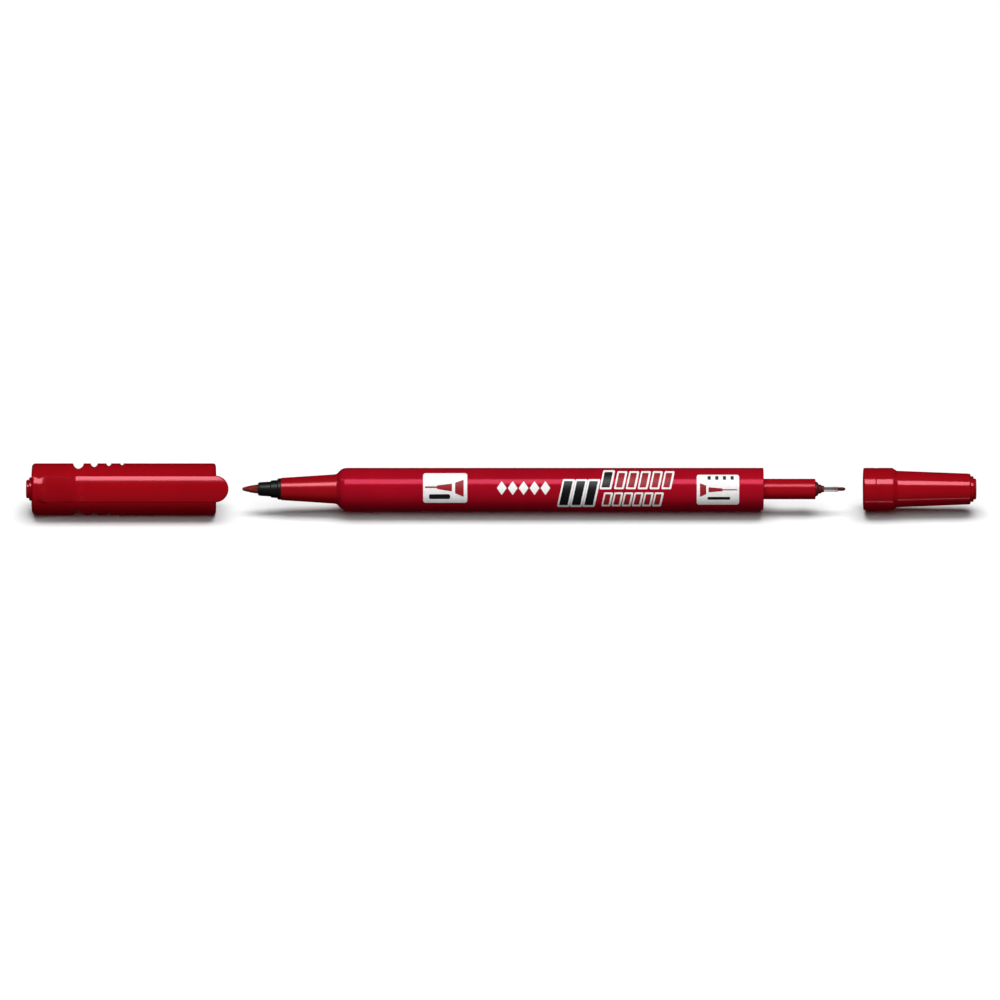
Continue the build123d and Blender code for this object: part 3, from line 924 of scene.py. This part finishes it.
# right panel: the slim tip pictogram over a thin line sample
white.append(rect(32.5, 41.9, -3.45, 3.15, 0.5))
red.append(soft_poly([(33.2, -1.75), (34.6, -1.15), (34.6, 0.75), (33.2, 1.30)]))
red.append(soft_poly([(35.1, -0.75), (38.2, -0.48), (38.2, 0.12), (35.1, 0.40)]))
red.append(rect(38.2, 41.5, -0.30, -0.05, 0.05))
black.append(rect(34.9, 39.9, -2.35, -1.75, 0.2))
for k in range(4):
    black.append(rect(34.9 + 1.7 * k, 35.6 + 1.7 * k, 2.05, 2.85, 0.1))

film("print_white", white, ink_white, 0.014)
film("print_black", black, ink_black, 0.026)
film("print_red", red, ink_red, 0.026)

# -------------------------------------------------------------------- stage

FLOOR_Z = cad_lo.z
world = bpy.data.worlds.new("studio")
bpy.context.scene.world = world
world.use_nodes = True
back = world.node_tree.nodes["Background"]
back.inputs[0].default_value = (1.0, 1.0, 1.0, 1.0)
back.inputs[1].default_value = 1.0
world.cycles_visibility.diffuse = False
world.cycles_visibility.glossy = False
world.cycles_visibility.transmission = False

bm = bmesh.new()
side = 9.0
for x, y in ((-side, -side), (side, -side), (side, side), (-side, side)):
    bm.verts.new((x, y, FLOOR_Z - 0.00002))
bm.faces.new(bm.verts)
floor_mesh = bpy.data.meshes.new("floor")
bm.to_mesh(floor_mesh)
bm.free()
floor = bpy.data.objects.new("floor", floor_mesh)
bpy.context.scene.collection.objects.link(floor)
paper = Nodes("floor_paper")
paper.link(paper.ramp(paper.noise(300.0, 3.0), [(0.3, (0.80, 0.80, 0.80)), (0.7, (0.81, 0.81, 0.81))]),
           paper.bsdf.inputs["Base Color"])
paper.bsdf.inputs["Roughness"].default_value = 1.0
paper.bsdf.inputs["Specular IOR Level"].default_value = 0.0
# far from the pen, where the lamps fall off, the sweep stays as pale as near it
reach = paper.new("ShaderNodeVectorMath", operation="LENGTH")
paper.link(paper.coord, reach.inputs[0])
far = paper.new("ShaderNodeMapRange", interpolation_type="SMOOTHSTEP")
paper.link(reach.outputs["Value"], far.inputs["Value"])
far.inputs["From Min"].default_value = 0.35
far.inputs["From Max"].default_value = 2.2
paper.bsdf.inputs["Emission Color"].default_value = (1.0, 1.0, 1.0, 1.0)
paper.link(far.outputs[0], paper.bsdf.inputs["Emission Strength"])
floor_mesh.materials.append(paper.mat)
floor.visible_glossy = False
floor.visible_diffuse = False

# Collections for light linking: the object, the floor, and all but the clip and its root.
on_object = bpy.data.collections.new("lit_object")
on_floor = bpy.data.collections.new("lit_floor")
but_clip = bpy.data.collections.new("casts_shadow")
on_floor.objects.link(floor)
on_steel = bpy.data.collections.new("lit_steel")
on_steel.objects.link(sleeve)
on_small_cap = bpy.data.collections.new("lit_small_cap")
on_small_cap.objects.link(scap)
for o in bpy.context.scene.objects:
    if o.type == "MESH" and o is not floor:
        if o is not sleeve:
            on_object.objects.link(o)
        if o not in (clip, clip_bump, clip_root):
            but_clip.objects.link(o)


def softbox(name, elevation, distance, across, along, radiance, reflects=True,
            azimuth=0.0, receivers=None, shadow=True, blockers=None, diffuse=True,
            colour=(1.0, 1.0, 1.0)):
    """A rectangular area light facing the pen. Elevation is above the horizon,
    from -Y; across is its height as seen from the pen and along its width,
    both as half angles in degrees. reflects: shows in glossy surfaces.
    blockers: the only things that cast its shadows. diffuse: lights matt surfaces."""
    e, a = math.radians(elevation), math.radians(azimuth)
    light = bpy.data.lights.new(name, "AREA")
    light.shape = "RECTANGLE"
    light.size = 2 * distance * math.tan(math.radians(along))
    light.size_y = 2 * distance * math.tan(math.radians(across))
    light.energy = radiance * math.pi * light.size * light.size_y
    light.use_shadow = shadow
    light.color = colour
    obj = bpy.data.objects.new(name, light)
    out = Vector((math.sin(a) * math.cos(e), -math.cos(a) * math.cos(e), math.sin(e)))
    obj.location = out * distance
    up = Vector((0, math.sin(e), math.cos(e)))
    side_v = up.cross(out).normalized()
    up = out.cross(side_v)
    obj.matrix_world = Matrix((
        (side_v.x, up.x, out.x, obj.location.x),
        (side_v.y, up.y, out.y, obj.location.y),
        (side_v.z, up.z, out.z, obj.location.z),
        (0, 0, 0, 1)))
    obj.visible_camera = False
    obj.visible_glossy = reflects
    obj.visible_diffuse = diffuse
    bpy.context.scene.collection.objects.link(obj)
    if receivers is not None:
        obj.light_linking.receiver_collection = receivers
    if blockers is not None:
        obj.light_linking.blocker_collection = blockers
    return obj


softbox("key", 64.2, 3.0, 13.0, 18.5, 9.3, azimuth=-15.1, receivers=on_object, blockers=but_clip)
softbox("key_rest", 59.4, 3.0, 13.0, 6.25, 9.3, azimuth=38.0, reflects=False,
        receivers=on_object, blockers=but_clip)
softbox("front_fill", 24.0, 3.0, 30.0, 40.0, 0.05, reflects=False, receivers=on_object)
softbox("low_fill", -15.0, 3.0, 30.0, 40.0, 0.62, reflects=False, receivers=on_object, shadow=False)
# The polished sleeve mirrors the pale sweep behind and below the pen.
softbox("steel_back", 142.0, 3.0, 32.0, 60.0, 1.5, receivers=on_steel)
softbox("steel_below", -46.0, 3.0, 34.0, 60.0, 0.80, receivers=on_steel, shadow=False)
softbox("steel_front", 40.0, 3.0, 24.0, 40.0, 0.25, receivers=on_steel)
# The pale floor shows as a faint line low on the small cap.
softbox("low_line", -50.0, 3.0, 2.5, 24.0, 2.4, receivers=on_small_cap, shadow=False,
        diffuse=False)
# The far side has its own soft light, and the sides their own highlights.
softbox("back_fill", -12.0, 3.0, 30.0, 40.0, 1.0, reflects=False, azimuth=180.0,
        receivers=on_object, shadow=False)
for name, turn in (("left_edge", -90.0), ("right_edge", 90.0)):
    softbox(name, 48.0, 3.0, 5.0, 12.0, 2.8, azimuth=turn, receivers=on_object, diffuse=False)
softbox("floor_light", 90.0 + 6.5, 6.0, 16.0, 26.0, 6.6, reflects=False, receivers=on_floor,
        blockers=but_clip)
softbox("floor_front", 56.0, 6.0, 26.0, 26.0, 1.35, reflects=False, receivers=on_floor,
        blockers=but_clip)
softbox("floor_ambient", 60.0, 6.0, 30.0, 30.0, 0.33, reflects=False, receivers=on_floor,
        shadow=False, colour=(0.84, 1.0, 1.0))

# ------------------------------------------------------------------- camera

WIDTH = 0.2222                     # what the frame's width shows at the pen
CENTRE_X = -0.01114
cam_data = bpy.data.cameras.new("camera")
cam_data.lens = 400
cam_data.sensor_width = 36
distance = WIDTH * cam_data.lens / cam_data.sensor_width
cam_data.clip_start, cam_data.clip_end = 0.01, 60
camera = bpy.data.objects.new("camera", cam_data)
bpy.context.scene.collection.objects.link(camera)
e = VIEW_ELEVATION
back_v = Vector((0, -math.cos(e), math.sin(e)))
up_v = Vector((0, math.sin(e), math.cos(e)))
target = Vector((CENTRE_X, 0, 0)) - up_v * 0.00244
camera.location = target + back_v * distance
camera.rotation_mode = "QUATERNION"
camera.rotation_quaternion = (-back_v).to_track_quat("-Z", "Y")
bpy.context.scene.camera = camera

bpy.context.scene.view_settings.view_transform = "Standard"
bpy.context.scene.view_settings.look = "None"

bpy.context.view_layer.update()
